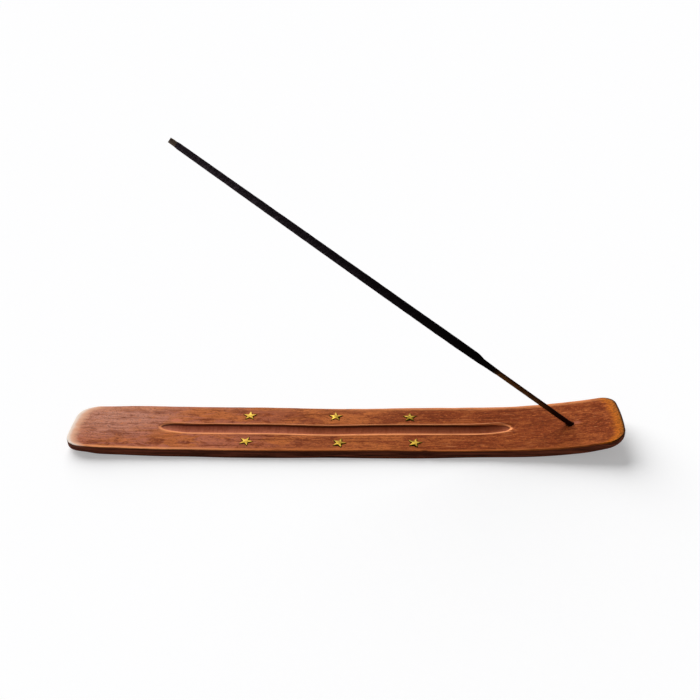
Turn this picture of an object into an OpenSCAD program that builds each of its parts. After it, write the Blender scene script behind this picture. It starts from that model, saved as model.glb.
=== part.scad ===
// Incense stick holder: a carved wooden board with six brass stars let into its top,
// an ash groove along its middle, and a slanted hole that holds one incense stick.
// The board lies along X with its raised end towards +X, and rests on Z = 0.

/* [Board] */
// Length of the board, end to end
board_length = 254; // [220:1:320]
// Width of the board
board_width = 34; // [28:0.5:60]
// Thickness of the wood
board_thickness = 4; // [3.2:0.1:8]
// Corner radius at the low end
low_corner = 11.5; // [4:0.5:12.5]
// Corner radius at the raised end
raised_corner = 7; // [3:0.5:12]
// How far the middle of the low end bows out
low_bow = 0.8; // [0.2:0.1:3]
// How far the middle of the raised end bows out
raised_bow = 1.4; // [0.2:0.1:3]

/* [Bends] */
// Distance from the low end to the flat middle
low_bend_reach = 77; // [40:1:100]
// Radius of the underside along the low end
low_bend_radius = 1500; // [800:10:4000]
// Distance from the raised end to the flat middle
raised_bend_reach = 82; // [60:1:100]
// Radius of the underside where the board begins to rise
gentle_bend_radius = 640; // [400:10:1200]
// Distance from the raised end to its tighter bend
tight_bend_reach = 47; // [25:1:58]
// Radius of the underside in the tighter bend
tight_bend_radius = 290; // [150:5:600]

/* [Ash groove] */
// Width of the groove at its rim
groove_width = 6.8; // [5:0.1:10]
// Depth of the groove
groove_depth = 2; // [1:0.1:2.5]
// Distance from the low end to the straight part of the groove
groove_from_low_end = 57; // [45:0.5:75]
// Distance from the stick hole to the straight part of the groove
groove_from_hole = 38.5; // [30:0.5:60]
// Radius of the groove's rise towards the low end
low_run_out_radius = 55; // [25:1:90]
// Radius of the groove's rise towards the raised end
raised_run_out_radius = 34; // [20:1:90]

/* [Star inlays] */
// Distance from the middle of a star to its tips
star_tip_radius = 3.4; // [2:0.1:4.4]
// Thickness of the brass
star_thickness = 0.9; // [0.5:0.1:1.5]
// Depth of the pockets that the stars lie in
pocket_depth = 0.6; // [0.3:0.1:1.2]
// Gap between a star and the wall of its pocket
star_clearance = 0.1; // [0.05:0.05:0.2]
// Distance from one pair of stars to the next
star_pitch = 38; // [25:1:45]

/* [Incense stick] */
// Angle of the stick above level
stick_angle = 39.4; // [35:0.2:60]
// Length of the bamboo core
stick_length = 217; // [160:1:300]
// Diameter of the bamboo core
stick_diameter = 2.4; // [1.5:0.1:3]
// Gap between the stick and the wall of its hole
stick_clearance = 0.25; // [0.05:0.05:0.4]
// Distance from the raised end to the mouth of the hole
hole_from_end = 23; // [16:0.2:30]
// Wood left under the hole
hole_floor = 0.8; // [0.4:0.1:1.5]
// Bare bamboo above the paste
bare_tip = 3; // [1:0.5:10]
// Bare bamboo from the foot of the stick to the paste
bare_foot = 45; // [20:1:60]
// Length of the thin smear where the paste was dipped last
smear_length = 12; // [4:0.1:20]
// Length over which the paste thins out to the smear
tail_length = 6; // [4:0.1:20]
// Thickness of the paste at the tip
coat_wall_tip = 0.15; // [0.1:0.05:1]
// Thickness of the paste at its fullest, above the tail
coat_wall_full = 0.8; // [0.5:0.05:1.5]
// Thickness of the paste where the tail meets the smear
coat_wall_tail = 0.33; // [0.2:0.01:0.5]
// Thickness of the smear at its end
coat_wall_smear = 0.1; // [0.08:0.01:0.2]

/* [Hidden] */

// Smoothness of small and of large circles, and of each arc in the side view
small_sides = 96;
large_sides = 720;
arc_steps = 16;
// How far a cutting shape runs past what it cuts
overrun = 1;
// How far the corner circles run past the bowed ends that trim them
corner_pass = 0.1;

wood_color = [0.55, 0.27, 0.16];
brass_color = [0.80, 0.68, 0.36];
bamboo_color = [0.30, 0.17, 0.09];
paste_color = [0.10, 0.085, 0.08];

low_end = -board_length / 2;
raised_end = board_length / 2;
half_width = board_width / 2;

// The underside's side view: flat, a long arc at the low end, two arcs at the raised end
low_bend_x = low_end + low_bend_reach;
raised_bend_x = raised_end - raised_bend_reach;
tight_bend_x = raised_end - tight_bend_reach;
tight_bend_slope = asin((tight_bend_x - raised_bend_x) / gentle_bend_radius);
low_centre = [low_bend_x, low_bend_radius];
gentle_centre = [raised_bend_x, gentle_bend_radius];
tight_centre = gentle_centre
    + (gentle_bend_radius - tight_bend_radius) * [sin(tight_bend_slope), -cos(tight_bend_slope)];

// Circles that give the two ends their bow
low_bow_radius = (half_width * half_width + low_bow * low_bow) / (2 * low_bow);
raised_bow_radius = (half_width * half_width + raised_bow * raised_bow) / (2 * raised_bow);
// Distance from an end to the centre of its corner circles
function corner_inset(corner, bow_radius) =
    bow_radius - sqrt(pow(bow_radius - corner, 2) - pow(half_width - corner, 2));

// Round-nosed groove: the cutter's radius follows from the groove's width and depth
cutter_radius = (groove_width * groove_width / 4 + groove_depth * groove_depth) / (2 * groove_depth);
cutter_height = board_thickness - groove_depth + cutter_radius;
hole_x = raised_end - hole_from_end;
groove_low_x = low_end + groove_from_low_end;
groove_raised_x = hole_x - groove_from_hole;
groove_middle = (groove_low_x + groove_raised_x) / 2;
// Angle of rise at which the cutter has left the wood
run_out_angle = 45;

// Stars: a regular five-pointed shape, larger by the clearance for the pocket
star_points = 5;
star_inner_share = 0.42;
star_notch_radius = star_tip_radius * star_inner_share;
star_step = 180 / star_points;
star_tip_half_angle = atan2(star_notch_radius * sin(star_step),
                            star_tip_radius - star_notch_radius * cos(star_step));
star_edge_distance = star_tip_radius * sin(star_tip_half_angle);
pocket_scale = 1 + star_clearance / star_edge_distance;
star_row = (groove_width / 2 + half_width) / 2;
star_base = board_thickness - pocket_depth;
// The stars were set by hand: each one's place as shares of the pitch and of the row's
// distance from the middle, measured from the middle of the groove
far_left_shares = [-1.1, 0.94];
far_middle_shares = [-0.03, 0.89];
far_right_shares = [0.89, 0.86];
near_left_shares = [-1.08, -0.97];
near_middle_shares = [0.045, -1.06];
near_right_shares = [0.945, -1.03];
// and its turn, in degrees
far_left_turn = 18;
far_middle_turn = 17;
far_right_turn = 18;
near_left_turn = 69;
near_middle_turn = 0;
near_right_turn = 4;

// The stick hole follows the stick, and stops short of the underside
hole_radius = stick_diameter / 2 + stick_clearance;
top_radius = tight_bend_radius - board_thickness;
hole_slope = asin((hole_x - tight_centre[0]) / top_radius);
hole_top = tight_centre[1] - top_radius * cos(hole_slope);
hole_lean = stick_angle + hole_slope;
hole_depth = (board_thickness - hole_floor - hole_radius * cos(hole_lean)) / sin(hole_lean);
// How far the hole's cutter runs up past the mouth
hole_run_up = 2 * hole_radius / tan(hole_lean) + overrun;
foot = [hole_x + hole_depth * cos(stick_angle), 0, hole_top - hole_depth * sin(stick_angle)];

// The paste along the stick, measured from its foot
core_radius = stick_diameter / 2;
tail_start = bare_foot + smear_length;
full_start = tail_start + tail_length;
coat_end = stick_length - bare_tip;

// Points along an arc, at angles measured from straight below its centre
function arc(centre, radius, from, to, first = 0) =
    [for (k = [first : arc_steps])
        centre + radius * [sin(from + (to - from) * k / arc_steps),
                           -cos(from + (to - from) * k / arc_steps)]];

// The board from the side, past both ends: its underside, then its top on the way back
module side_view() {
    low_angle = asin((low_bend_reach + overrun) / (low_bend_radius - board_thickness));
    raised_angle = asin((raised_end + overrun - tight_centre[0])
                        / (tight_bend_radius - board_thickness));
    polygon(concat(
        arc(low_centre, low_bend_radius, -low_angle, 0),
        arc(gentle_centre, gentle_bend_radius, 0, tight_bend_slope),
        arc(tight_centre, tight_bend_radius, tight_bend_slope, raised_angle, 1),
        arc(tight_centre, tight_bend_radius - board_thickness, raised_angle, tight_bend_slope),
        arc(gentle_centre, gentle_bend_radius - board_thickness, tight_bend_slope, 0, 1),
        arc(low_centre, low_bend_radius - board_thickness, 0, -low_angle)));
}

// The plan's half towards +X, with its two corners and its bowed end
module plan_half(corner, bow_radius) {
    corner_x = raised_end - corner_inset(corner, bow_radius) + corner_pass;
    difference() {
        union() {
            translate([0, -half_width])
                square([corner_x, board_width]);
            translate([0, corner - half_width])
                square([raised_end + overrun, board_width - 2 * corner]);
            for (side = [-1, 1])
                translate([corner_x, side * (half_width - corner)])
                    circle(r = corner, $fn = small_sides);
        }
        difference() {
            translate([corner_x, -half_width - overrun])
                square([raised_end + 2 * overrun - corner_x, board_width + 2 * overrun]);
            translate([raised_end - bow_radius, 0])
                circle(r = bow_radius, $fn = large_sides);
        }
    }
}

module plan_view() {
    plan_half(raised_corner, raised_bow_radius);
    mirror([1, 0])
        plan_half(low_corner, low_bow_radius);
}

module run_out(x, toward, radius) {
    translate([x, 0, cutter_height + radius])
        mirror([toward < 0 ? 1 : 0, 0, 0])
            rotate([90, 0, 0])
                rotate([0, 0, -90])
                    rotate_extrude(angle = run_out_angle, $fn = large_sides)
                        translate([radius, 0])
                            circle(r = cutter_radius, $fn = small_sides);
}

module groove_cutter() {
    translate([groove_low_x, 0, cutter_height])
        rotate([0, 90, 0])
            cylinder(r = cutter_radius, h = groove_raised_x - groove_low_x, $fn = small_sides);
    run_out(groove_low_x, -1, low_run_out_radius);
    run_out(groove_raised_x, 1, raised_run_out_radius);
}

module star_outline(size = 1) {
    polygon([for (k = [0 : 2 * star_points - 1])
        (k % 2 == 0 ? star_tip_radius : star_notch_radius) * size
            * [cos(k * star_step), sin(k * star_step)]]);
}

module at_star(shares, turn) {
    translate([groove_middle + shares[0] * star_pitch, shares[1] * star_row, star_base])
        rotate([0, 0, turn])
            children();
}

module star(shares, turn) {
    color(brass_color)
        at_star(shares, turn)
            linear_extrude(star_thickness)
                star_outline();
}

module pocket(shares, turn) {
    at_star(shares, turn)
        linear_extrude(pocket_depth + overrun)
            star_outline(pocket_scale);
}

// Places what is drawn along +Z on the stick's own line, from its foot
module on_stick_line() {
    translate(foot)
        rotate([0, stick_angle - 90, 0])
            children();
}

module board() {
    color(wood_color)
        difference() {
            intersection() {
                translate([0, half_width + overrun, 0])
                    rotate([90, 0, 0])
                        linear_extrude(board_width + 2 * overrun)
                            side_view();
                translate([0, 0, -overrun])
                    linear_extrude(tight_bend_radius)
                        plan_view();
            }
            groove_cutter();
            pocket(far_left_shares, far_left_turn);
            pocket(far_middle_shares, far_middle_turn);
            pocket(far_right_shares, far_right_turn);
            pocket(near_left_shares, near_left_turn);
            pocket(near_middle_shares, near_middle_turn);
            pocket(near_right_shares, near_right_turn);
            on_stick_line()
                cylinder(r = hole_radius, h = hole_depth + hole_run_up, $fn = small_sides);
        }
}

module star_far_left() {
    star(far_left_shares, far_left_turn);
}

module star_far_middle() {
    star(far_middle_shares, far_middle_turn);
}

module star_far_right() {
    star(far_right_shares, far_right_turn);
}

module star_near_left() {
    star(near_left_shares, near_left_turn);
}

module star_near_middle() {
    star(near_middle_shares, near_middle_turn);
}

module star_near_right() {
    star(near_right_shares, near_right_turn);
}

module bamboo_core() {
    color(bamboo_color)
        on_stick_line()
            cylinder(r = core_radius, h = stick_length, $fn = small_sides);
}

module incense_coat() {
    color(paste_color)
        on_stick_line()
            rotate_extrude($fn = small_sides)
                polygon([[core_radius, bare_foot],
                         [core_radius + coat_wall_smear, bare_foot],
                         [core_radius + coat_wall_tail, tail_start],
                         [core_radius + coat_wall_full, full_start],
                         [core_radius + coat_wall_tip, coat_end],
                         [core_radius, coat_end]]);
}

board();
star_far_left();
star_far_middle();
star_far_right();
star_near_left();
star_near_middle();
star_near_right();
bamboo_core();
incense_coat();
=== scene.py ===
"""Incense stick holder: a carved and stained wooden board with six brass stars let into it,
an ash groove, and one incense stick standing in its slanted hole."""

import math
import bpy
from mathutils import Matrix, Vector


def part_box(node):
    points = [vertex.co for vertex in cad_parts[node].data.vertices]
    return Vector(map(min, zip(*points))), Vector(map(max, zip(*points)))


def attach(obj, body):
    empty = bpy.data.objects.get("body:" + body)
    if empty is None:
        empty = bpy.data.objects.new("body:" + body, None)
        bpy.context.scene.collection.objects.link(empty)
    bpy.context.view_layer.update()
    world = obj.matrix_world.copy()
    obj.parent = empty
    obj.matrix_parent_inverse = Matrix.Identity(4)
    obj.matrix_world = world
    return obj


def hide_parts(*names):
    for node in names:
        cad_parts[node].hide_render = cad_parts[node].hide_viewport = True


bl_info = {
    "name": "Incense Stick Holder",
    "version": (1, 0, 0),
    "blender": (4, 5, 0),
    "location": "View3D > Sidebar > Incense",
    "description": "Builds a carved wooden incense stick holder around its packed model",
    "category": "Add Mesh",
}

import bmesh
import bpy
from bpy.props import FloatProperty, FloatVectorProperty, IntProperty, PointerProperty
from bpy.types import Operator, Panel, PropertyGroup
from mathutils import Matrix, Vector, noise

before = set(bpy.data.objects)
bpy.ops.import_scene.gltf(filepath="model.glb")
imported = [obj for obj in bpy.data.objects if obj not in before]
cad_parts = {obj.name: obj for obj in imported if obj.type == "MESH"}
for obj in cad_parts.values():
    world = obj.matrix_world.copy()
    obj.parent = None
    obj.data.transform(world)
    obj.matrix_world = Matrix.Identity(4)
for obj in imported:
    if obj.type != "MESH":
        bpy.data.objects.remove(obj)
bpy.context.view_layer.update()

MM = 0.001
BOARD_LOW, BOARD_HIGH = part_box("board")
HALF_WIDTH = (BOARD_HIGH.y - BOARD_LOW.y) / 2
LOW_END = BOARD_LOW.x
RAISED_END = BOARD_HIGH.x
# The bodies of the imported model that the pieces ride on
HOLDER = "holder"
STICK = "stick"
# Lengths below this count as none
TINY = 1e-9
# Points of the cut board that lie closer than this are one point
HAIR = 0.006 * MM
# Where the soft key light comes from: behind, left and above
KEY_TOWARD = (-0.53, 0.78, 0.615)
# How wide the camera's sensor is, in millimetres, and how far the floor reaches, in metres
SENSOR_WIDTH = 36
FLOOR_REACH = 4
# Edges sharper than this are not smoothed
SHARP_ANGLE = math.radians(38)


# Settings that a user would change


class BoardSettings(PropertyGroup):
    """Sizes and colours of the wooden board"""

    thickness: FloatProperty(
        name="Thickness", description="Thickness of the wood", default=4 * MM, unit="LENGTH")
    low_corner: FloatProperty(
        name="Low corner", description="Corner radius at the low end", default=10 * MM, unit="LENGTH")
    raised_corner: FloatProperty(
        name="Raised corner", description="Corner radius at the raised end", default=7 * MM, unit="LENGTH")
    low_bow: FloatProperty(
        name="Low bow", description="How far the low end bows out", default=0.8 * MM, unit="LENGTH")
    raised_bow: FloatProperty(
        name="Raised bow", description="How far the raised end bows out", default=1.4 * MM, unit="LENGTH")
    groove_width: FloatProperty(
        name="Groove width", description="Width of the ash groove at its rim",
        default=6.8 * MM, unit="LENGTH")
    groove_depth: FloatProperty(
        name="Groove depth", description="Depth of the ash groove", default=2 * MM, unit="LENGTH")
    arris: FloatProperty(
        name="Arris", description="Radius of the worn upper edge", default=0.42 * MM, unit="LENGTH")
    step: FloatProperty(
        name="Step", description="Spacing of the board's mesh along its length",
        default=0.8 * MM, unit="LENGTH")
    wood: FloatVectorProperty(
        name="Wood", description="Stain over the middle of the board",
        default=(0.346, 0.081, 0.021), size=3, subtype="COLOR", min=0, max=1)
    # Paler and more mauve towards the low end: partly faded stain, partly a painted sheen of light glancing
    # off the wood
    wood_dusty_and_sheen: FloatVectorProperty(
        name="Dusty wood", description="Faded, mauve stain towards the low end",
        default=(0.475, 0.143, 0.080), size=3, subtype="COLOR", min=0, max=1)
    wood_deep: FloatVectorProperty(
        name="Deep stain", description="Stain towards the raised end, and where it soaked in deepest",
        default=(0.207, 0.036, 0.007), size=3, subtype="COLOR", min=0, max=1)
    wood_thin: FloatVectorProperty(
        name="Thin stain", description="Wood where the stain is thin",
        default=(0.53, 0.145, 0.034), size=3, subtype="COLOR", min=0, max=1)
    wood_bare: FloatVectorProperty(
        name="Bare wood", description="Wood rubbed bare along the edges",
        default=(0.94, 0.35, 0.135), size=3, subtype="COLOR", min=0, max=1)
    wood_beige: FloatVectorProperty(
        name="Beige end", description="Sanded wood beside the low end",
        default=(0.84, 0.45, 0.285), size=3, subtype="COLOR", min=0, max=1)
    # The whitish very edge is partly sanded wood, partly a painted highlight on the rounded end facing the
    # light
    wood_pale: FloatVectorProperty(
        name="Pale end", description="Whitish wood at the very edge of the low end",
        default=(0.97, 0.84, 0.73), size=3, subtype="COLOR", min=0, max=1)
    # Painted sheen: paler wood behind the low end that stands for light glancing off it
    wood_painted_sheen: FloatVectorProperty(
        name="Sheen", description="Rubbed, paler wood behind the low end",
        default=(0.65, 0.30, 0.205), size=3, subtype="COLOR", min=0, max=1)
    wood_golden: FloatVectorProperty(
        name="Golden end", description="Golden brown band along the raised end",
        default=(0.52, 0.134, 0.011), size=3, subtype="COLOR", min=0, max=1)
    wood_olive: FloatVectorProperty(
        name="Olive edge", description="Dull golden edge of the raised end",
        default=(0.30, 0.125, 0.012), size=3, subtype="COLOR", min=0, max=1)
    side: FloatVectorProperty(
        name="Sides", description="Dark stain on the sides and the underside",
        default=(0.190, 0.050, 0.025), size=3, subtype="COLOR", min=0, max=1)
    # Painted shade: near black for the star pockets and the stick hole, where light does not reach
    soot_and_shade: FloatVectorProperty(
        name="Soot", description="Black of burnt and unlit hollows",
        default=(0.012, 0.005, 0.003), size=3, subtype="COLOR", min=0, max=1)


class StarSettings(PropertyGroup):
    """Sizes and colours of the brass stars"""

    tip_radius: FloatProperty(
        name="Tip radius", description="Distance from the middle of a star to its tips",
        default=3.4 * MM, unit="LENGTH")
    inner_share: FloatProperty(
        name="Inner share", description="Notch radius as a share of the tip radius",
        default=0.35, min=0.2, max=0.8)
    cut_error: FloatProperty(
        name="Cut error", description="How unevenly the tips were cut", default=0.20 * MM, unit="LENGTH")
    edge: FloatProperty(
        name="Edge", description="Width of the rubbed edge", default=0.12 * MM, unit="LENGTH")
    pocket_gap: FloatProperty(
        name="Pocket gap", description="Gap between a star's tips and its pocket",
        default=0.18 * MM, unit="LENGTH")
    notch_gap: FloatProperty(
        name="Notch gap", description="Gap between a star's notches and its hand-cut pocket",
        default=0.48 * MM, unit="LENGTH")
    brass: FloatVectorProperty(
        name="Brass", description="Colour of the brass",
        default=(0.44, 0.278, 0.034), size=3, subtype="COLOR", min=0, max=1)
    tarnish: FloatVectorProperty(
        name="Tarnish", description="Olive tarnish on it",
        default=(0.150, 0.094, 0.004), size=3, subtype="COLOR", min=0, max=1)


class StickSettings(PropertyGroup):
    """Sizes and colours of the incense stick"""

    angle: FloatProperty(
        name="Angle", description="Angle of the stick above level",
        default=math.radians(39.4), subtype="ANGLE")
    diameter: FloatProperty(
        name="Core diameter", description="Diameter of the bamboo core", default=2.4 * MM, unit="LENGTH")
    length: FloatProperty(
        name="Core length", description="Length of the bamboo core", default=217 * MM, unit="LENGTH")
    hole_diameter: FloatProperty(
        name="Hole diameter", description="Diameter of the stick hole", default=2.9 * MM, unit="LENGTH")
    bare_foot: FloatProperty(
        name="Bare foot", description="Bare bamboo below the paste", default=45 * MM, unit="LENGTH")
    bare_tip: FloatProperty(
        name="Bare tip", description="Bare bamboo above the paste", default=3 * MM, unit="LENGTH")
    bamboo: FloatVectorProperty(
        name="Bamboo", description="Smoked brown of the bamboo",
        default=(0.024, 0.0045, 0.002), size=3, subtype="COLOR", min=0, max=1)
    bamboo_light: FloatVectorProperty(
        name="Bamboo fibres", description="Lighter fibres of the bamboo",
        default=(0.175, 0.065, 0.016), size=3, subtype="COLOR", min=0, max=1)
    bamboo_tip: FloatVectorProperty(
        name="Bamboo tip", description="Grey brown of the bare tip",
        default=(0.19, 0.135, 0.10), size=3, subtype="COLOR", min=0, max=1)
    paste: FloatVectorProperty(
        name="Paste", description="Colour of the charcoal paste",
        default=(0.0042, 0.0030, 0.0030), size=3, subtype="COLOR", min=0, max=1)
    paste_dust: FloatVectorProperty(
        name="Paste dust", description="Dusty grain of the paste",
        default=(0.120, 0.088, 0.107), size=3, subtype="COLOR", min=0, max=1)


class StageSettings(PropertyGroup):
    """Camera, lights and floor"""

    azimuth: FloatProperty(
        name="Azimuth", description="Camera's direction round the object",
        default=math.radians(5), subtype="ANGLE")
    elevation: FloatProperty(
        name="Elevation", description="Camera's height above level",
        default=math.radians(37.5), subtype="ANGLE")
    roll: FloatProperty(
        name="Roll", description="Camera's turn about its own line of sight",
        default=math.radians(-2.26), subtype="ANGLE")
    distance: FloatProperty(
        name="Distance", description="Camera's distance from the origin", default=428.4 * MM, unit="LENGTH")
    aim_behind: FloatProperty(
        name="Aim", description="How far behind the origin the camera aims",
        default=74.5 * MM, unit="LENGTH")
    lens: FloatProperty(
        name="Lens", description="Focal length in millimetres on a 36 mm sensor",
        default=47.14, min=10, max=200)
    sky: FloatProperty(
        name="Sky", description="Strength of the even light", default=0.15, min=0, max=2)
    sun: FloatProperty(
        name="Key light", description="Strength of the soft light from behind", default=4.3, min=0, max=10)
    sun_width: FloatProperty(
        name="Key width", description="Angle that the key light takes up",
        default=math.radians(60), subtype="ANGLE")
    floor: FloatVectorProperty(
        name="Floor", description="Colour of the floor",
        default=(0.75, 0.75, 0.755), size=3, subtype="COLOR", min=0, max=1)
    floor_glow: FloatProperty(
        name="Floor white", description="Even white that the camera sees on the floor",
        default=0.34, min=0, max=1)
    seed: IntProperty(
        name="Seed", description="Seed of all hand-made unevenness", default=3)


# Small helpers


def clamp(value, low=0.0, high=1.0):
    """The value, kept between low and high."""
    return max(low, min(high, value))


def fade(value, start, end, least=0.0):
    """1 up to start, the least past end, and a smooth step between."""
    share = clamp((value - start) / (end - start))
    return 1 - (1 - least) * share * share * (3 - 2 * share)


def wobble(x, y=0.0, z=0.0):
    """Smooth unevenness between -1 and 1; one unit is about one swing."""
    return noise.noise(Vector((x, y, z)))


def rounding(radius, distance):
    """How far a rounded edge has dropped at a distance inside the outline."""
    return radius - math.sqrt(radius ** 2 - (radius - distance) ** 2) if distance < radius else 0.0


def as_mesh(name, bm):
    """Turns a bmesh into a mesh, and frees it."""
    mesh = bpy.data.meshes.new(name)
    bm.to_mesh(mesh)
    bm.free()
    return mesh


def add_object(name, data):
    """Puts an object with this data in the scene."""
    added = bpy.data.objects.new(name, data)
    bpy.context.scene.collection.objects.link(added)
    return added


def place_piece(name, mesh, material, body, slot, *nodes):
    """Makes the finished mesh a piece that rides on a body and stands for CAD nodes."""
    mesh.name = name
    mesh.shade_smooth()
    mesh.set_sharp_from_angle(angle=SHARP_ANGLE)
    mesh.materials.clear()
    mesh.materials.append(material)
    piece = add_object(name, mesh)
    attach(piece, body)
    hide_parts(*nodes)


# The board's form: its bends, its outline and its groove, as distances in metres


class BoardForm:
    """Works out where the board's surfaces lie."""

    # The board is level in its middle, bends up a little towards the low end,
    # and towards the raised end first gently and then tightly
    low_bend_x = LOW_END + 77 * MM
    low_radius = 1500 * MM
    gentle_bend_x = RAISED_END - 82 * MM
    gentle_radius = 640 * MM
    tight_bend_x = RAISED_END - 47 * MM
    tight_radius = 290 * MM
    # Where the groove's level stretch ends, and the radii on which the cutter ran out
    groove_low_x = LOW_END + 57 * MM
    groove_raised_x = RAISED_END - 61.5 * MM
    low_run_out = 55 * MM
    raised_run_out = 34 * MM
    # Where the stick hole is, and how much wood is left under it
    hole_x = RAISED_END - 23 * MM
    hole_floor = 0.8 * MM
    nick_x = 38.3 * MM
    rim_softness = 0.12 * MM
    lower_arris = 0.2 * MM
    # The near corners came out tighter at the low end (True) and wider at the raised one
    near_corner_shares = {True: 0.95, False: 1.24}
    # How much rounder the lower arris gets at the low end (True) and at the raised one
    end_rounding = {True: 0.9 * MM, False: 2.1 * MM}
    # Places further than this from the groove's rim need no exact distance
    rim_reach = 3 * MM

    def __init__(self, board, stick):
        self.board = board
        self.thickness = board.thickness
        slope = math.asin((self.tight_bend_x - self.gentle_bend_x) / self.gentle_radius)
        shift = self.gentle_radius - self.tight_radius
        self.tight_centre = Vector((self.gentle_bend_x + shift * math.sin(slope), 0,
                                    self.gentle_radius - shift * math.cos(slope)))
        # The radius of the cutter's round nose, and the height of its middle
        half = board.groove_width / 2
        self.nose = (half * half + board.groove_depth ** 2) / (2 * board.groove_depth)
        self.nose_height = self.thickness - board.groove_depth + self.nose
        self.groove_half = half
        # How far along its line the hole runs, until only its floor is left under it
        lean = stick.angle
        hole_radius = stick.hole_diameter / 2
        top_radius = self.tight_radius - self.thickness
        hole_slope = math.asin((self.hole_x - self.tight_centre.x) / top_radius)
        depth = (self.thickness - self.hole_floor
                 - hole_radius * math.cos(lean + hole_slope)) / math.sin(lean + hole_slope)
        self.mouth = Vector((self.hole_x, 0, self.top(self.hole_x)))
        self.stick_axis = Vector((-math.cos(lean), 0, math.sin(lean)))
        self.stick_lean = lean - math.pi / 2
        self.foot = self.mouth - depth * self.stick_axis

    def end(self, low, y):
        """The corner radius, its centre's distance from the end, and the bow's radius."""
        board = self.board
        corner, bow = (board.low_corner, board.low_bow) if low else (board.raised_corner, board.raised_bow)
        if y < 0:
            corner *= self.near_corner_shares[low]
        bow_radius = (HALF_WIDTH ** 2 + bow * bow) / (2 * bow)
        inset = bow_radius - math.sqrt((bow_radius - corner) ** 2 - (HALF_WIDTH - corner) ** 2)
        return corner, inset, bow_radius

    def surface(self, x, thickness):
        """Height of the bent surface that lies that far above the underside."""
        if x < self.low_bend_x:
            radius = self.low_radius - thickness
            return self.low_radius - math.sqrt(radius ** 2 - (x - self.low_bend_x) ** 2)
        if x < self.gentle_bend_x:
            return thickness
        radius = self.gentle_radius - thickness
        centre = Vector((self.gentle_bend_x, 0, self.gentle_radius))
        end = self.gentle_bend_x + radius * (self.tight_bend_x - self.gentle_bend_x) / self.gentle_radius
        if x > end:
            radius = self.tight_radius - thickness
            centre = self.tight_centre
        return centre.z - math.sqrt(radius ** 2 - (x - centre.x) ** 2)

    def top(self, x):
        """Height of the bent top, before anything is cut in it."""
        return self.surface(x, self.thickness)

    def under(self, x):
        """Height of the bent underside."""
        return self.surface(x, 0)

    def lower_radius(self, x):
        """Radius of the lower arris, which is rounder towards both ends."""
        low = self.end_rounding[True] * fade(x, LOW_END + 2 * MM, LOW_END + 18 * MM)
        raised = self.end_rounding[False] * fade(-x, 3 * MM - RAISED_END, 20 * MM - RAISED_END)
        return self.lower_arris + low + raised

    def end_x(self, y, low):
        """Where the outline of an end lies at that y."""
        corner, inset, bow = self.end(low, y)
        inner = HALF_WIDTH - corner
        touch = inner * bow / (bow - corner)
        if abs(y) <= touch:
            reach = bow - math.sqrt(bow * bow - y * y)
        else:
            reach = inset - math.sqrt(max(0, corner ** 2 - (abs(y) - inner) ** 2))
        return LOW_END + reach if low else RAISED_END - reach

    def half_at(self, x, y):
        """Half of the board's width at that x, on that side, round its corners."""
        for low, depth in ((True, x - LOW_END), (False, RAISED_END - x)):
            corner, inset, _ = self.end(low, y)
            if depth < inset:
                return HALF_WIDTH - corner + math.sqrt(max(0, corner ** 2 - (inset - depth) ** 2))
        return HALF_WIDTH

    def edge_distance(self, x, y):
        """How far inside the outline a place lies."""
        distance = HALF_WIDTH - abs(y)
        for low, depth in ((True, x - LOW_END), (False, RAISED_END - x)):
            corner, inset, bow = self.end(low, y)
            if depth > inset + corner:
                continue
            distance = min(distance, bow - math.hypot(bow - depth, y))
            across = abs(y) - (HALF_WIDTH - corner)
            if depth < inset and across > 0:
                distance = min(distance, corner - math.hypot(inset - depth, across))
        return max(distance, 0)

    def past_groove(self, x):
        """How far a place lies past the groove's level stretch, and the run-out's radius."""
        if x < self.groove_low_x:
            return self.groove_low_x - x, self.low_run_out
        return max(x - self.groove_raised_x, 0), self.raised_run_out

    def groove(self, x, y):
        """Height of the round-nosed cutter's path, or None outside it."""
        if abs(y) >= self.nose:
            return None
        drop = math.sqrt(self.nose ** 2 - y * y)
        past, radius = self.past_groove(x)
        sweep = (radius + drop) ** 2 - past ** 2
        if sweep < radius ** 2:
            return None
        return self.nose_height + radius - math.sqrt(sweep)

    def rim_distance(self, x, y):
        """How far outside the groove's rim a place lies, near the rim; negative inside it."""
        past, radius = self.past_groove(x)
        if past > self.tip_length(x < self.groove_low_x) + self.rim_reach:
            return self.rim_reach
        near = min(abs(y), self.groove_half + 0.3 * MM)
        drop = math.sqrt(self.nose ** 2 - near ** 2)
        reach = math.sqrt((radius + drop) ** 2 - past ** 2)
        slope = math.hypot(past, (radius + drop) * near / drop) / reach
        return (self.nose_height + radius - reach - self.thickness) / max(slope, 0.2) + abs(y) - near

    def tip_length(self, low):
        """How far the groove runs on past its level stretch, at that end."""
        radius = self.low_run_out if low else self.raised_run_out
        depth = self.board.groove_depth
        return math.sqrt((radius + self.nose) ** 2 - (radius + self.nose - depth) ** 2)


# Unevenness left by the hand that made it


# Where the spokeshave took more off the long edges: side, place along x, half-length,
# and how much it took off the top and off the foot of the edge, all but the side in
# millimetres; below zero it took less than the lean
EDGE_CUTS = ((1, 0, 27, 1.20, 0.5), (1, 77, 12, 0.30, 0.1),
             (-1, -119, 6, 0.5, 1.4), (-1, -104, 22, 0.35, 0.75), (-1, -68, 14, 0.25, 0.45),
             (-1, -5, 13, 0.0, 0.35), (-1, 18, 22, 0.55, 0.15), (-1, 61, 20, 0.15, 1.0),
             (-1, 102, 14, -0.46, 0.0))
# How far both long edges lean in at their top
EDGE_LEAN = {1: 0.04 * MM, -1: 0.50 * MM}
# How much the far edge was shaved off at the low end, and where along x that runs out
TAPER = 1.65 * MM
TAPER_RUN_OUT = (-122 * MM, -92 * MM)
# The nick in the near edge: its half-length, how far in it reaches, and its depth
NICK_LENGTH = 1.3 * MM
NICK_REACH = 0.5 * MM
NICK_DEPTH = 0.60 * MM
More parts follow.
